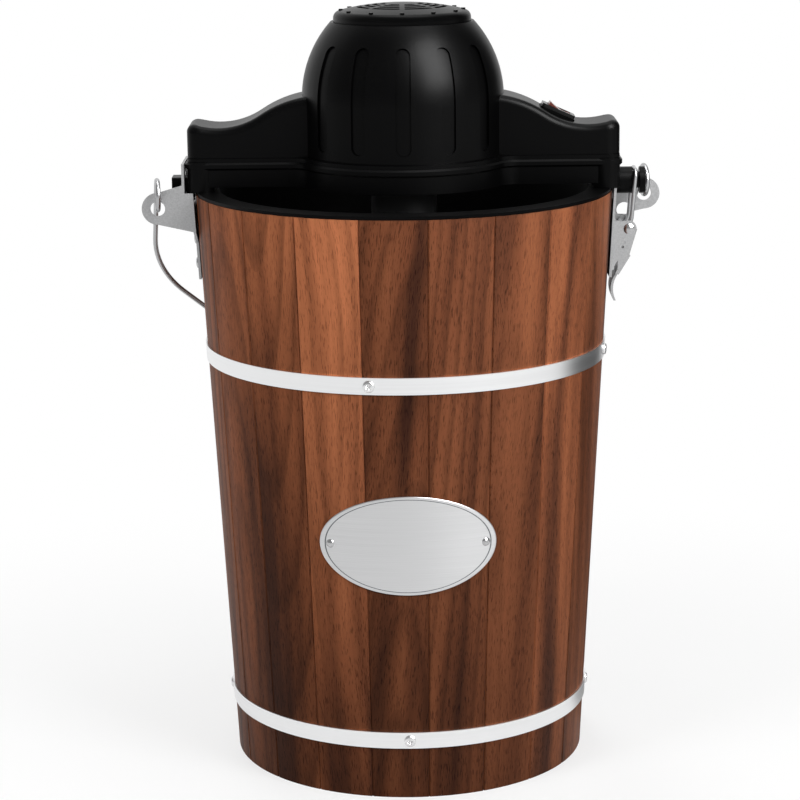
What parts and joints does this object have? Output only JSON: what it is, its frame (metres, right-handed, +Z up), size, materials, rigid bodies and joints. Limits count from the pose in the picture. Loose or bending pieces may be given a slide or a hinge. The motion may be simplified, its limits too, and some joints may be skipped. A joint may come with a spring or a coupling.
{
  "type": "ice cream maker",
  "caption": "Electric ice cream maker: a wooden stave bucket with steel hoops and a bail, and a latched motor head that turns a canister round a still dasher.",
  "frame": {"origin": "centre of the ring on which the bucket stands, on the table and on the canister's axis", "axes": "+Z up along the canister's axis, -Y towards the front with the oval plate, +X towards the latch"},
  "size_m": [0.3144, 0.2679, 0.4618],
  "materials": {
    "wood": "dark stain, satin varnish",
    "floor_wood": "raw",
    "liner": "matte",
    "hoop_steel": "brushed",
    "screw_steel": "bright",
    "badge": "brushed",
    "bracket_steel": "zinc plated, satin",
    "wire": "zinc plated, bright",
    "grip_wood": "varnished",
    "head_plastic": "fine grain",
    "cap_plastic": "fine grain",
    "bezel_plastic": "gloss",
    "rocker_plastic": "gloss",
    "gear_plastic": "black nylon",
    "gear_steel": "turned",
    "plate_steel": "zinc",
    "lamination": "laminated sheet",
    "rotor_steel": "turned",
    "copper": "enamelled wire",
    "fan_plastic": "matte",
    "canister_metal": "satin",
    "lid_plastic": "translucent white",
    "dasher_plastic": "white",
    "blade_wood": "bare beech"
  },
  "bodies": {
    "bucket": {"stave_01": "wood", "stave_02": "wood", "stave_03": "wood", "stave_04": "wood", "stave_05": "wood", "stave_06": "wood", "stave_07": "wood", "stave_08": "wood", "stave_09": "wood", "stave_10": "wood", "stave_11": "wood", "stave_12": "wood", "stave_13": "wood", "stave_14": "wood", "stave_15": "wood", "stave_16": "wood", "stave_17": "wood", "stave_18": "wood", "stave_19": "wood", "stave_20": "wood", "bucket_floor": "floor_wood", "bucket_liner": "liner", "upper_hoop": "hoop_steel", "lower_hoop": "hoop_steel", "hoop_screws": "screw_steel", "bracket_screws": "screw_steel", "badge_pins": "screw_steel", "housing_screws": "screw_steel", "badge_plate": "badge", "left_bracket": "bracket_steel", "right_bracket": "bracket_steel", "latch_base": "bracket_steel", "latch_rivets": "bracket_steel", "upper_housing": "head_plastic", "lower_housing": "head_plastic", "vent_cap": "cap_plastic", "switch_bezel": "bezel_plastic", "cord_gland": "bezel_plastic", "idler_pin": "gear_steel", "canister_pivot": "gear_steel", "gear_plate": "plate_steel", "lower_motor_bracket": "plate_steel", "upper_motor_bracket": "plate_steel", "motor_stator": "lamination", "motor_coils": "copper", "dasher": "dasher_plastic", "dasher_blades": "blade_wood"},
    "canister": {"canister": "canister_metal", "canister_lid": "lid_plastic", "output_gear": "gear_plastic"},
    "idler": {"idler_gear": "gear_steel"},
    "rotor": {"rotor": "rotor_steel", "cooling_fan": "fan_plastic", "motor_pinion": "gear_steel"},
    "rocker": {"switch_rocker": "rocker_plastic"},
    "bail": {"bail_wire": "wire", "handle_grip": "grip_wood"},
    "lever": {"latch_lever": "bracket_steel"},
    "loop": {"latch_loop": "wire"}
  },
  "joints": [
    {"name": "canister_spin", "type": "hinge", "parent": "bucket", "child": "canister", "pos_m": [0, 0, 0.031], "axis": [0, 0, 1], "continuous": true},
    {"name": "idler_spin", "type": "hinge", "parent": "bucket", "child": "idler", "pos_m": [0, 0.027, 0.36], "axis": [0, 0, 1], "continuous": true},
    {"name": "rotor_spin", "type": "hinge", "parent": "bucket", "child": "rotor", "pos_m": [0, 0, 0.4], "axis": [0, 0, 1], "continuous": true},
    {"name": "switch_tip", "type": "hinge", "parent": "bucket", "child": "rocker", "pos_m": [0.0932, 0, 0.39616], "axis": [0, -1, 0], "range_deg": [0, 20]},
    {"name": "bail_swing", "type": "hinge", "parent": "bucket", "child": "bail", "pos_m": [0, 0, 0.3506], "axis": [0.9898, 0.1425, 0], "range_deg": [0, 215]},
    {"name": "lever_swing", "type": "hinge", "parent": "bucket", "child": "lever", "pos_m": [0.1355, 0, 0.326], "axis": [0, -1, 0], "range_deg": [0, 90]},
    {"name": "loop_swing", "type": "hinge", "parent": "lever", "child": "loop", "pos_m": [0.131, 0, 0.3135], "axis": [0, -1, 0], "range_deg": [-67.5, 0]}
  ],
  "couplings": [
    {"joint": "idler_spin", "follows": "canister_spin", "ratio": -4},
    {"joint": "rotor_spin", "follows": "canister_spin", "ratio": 16},
    {"joint": "loop_swing", "follows": "lever_swing", "ratio": -0.75}
  ]
}
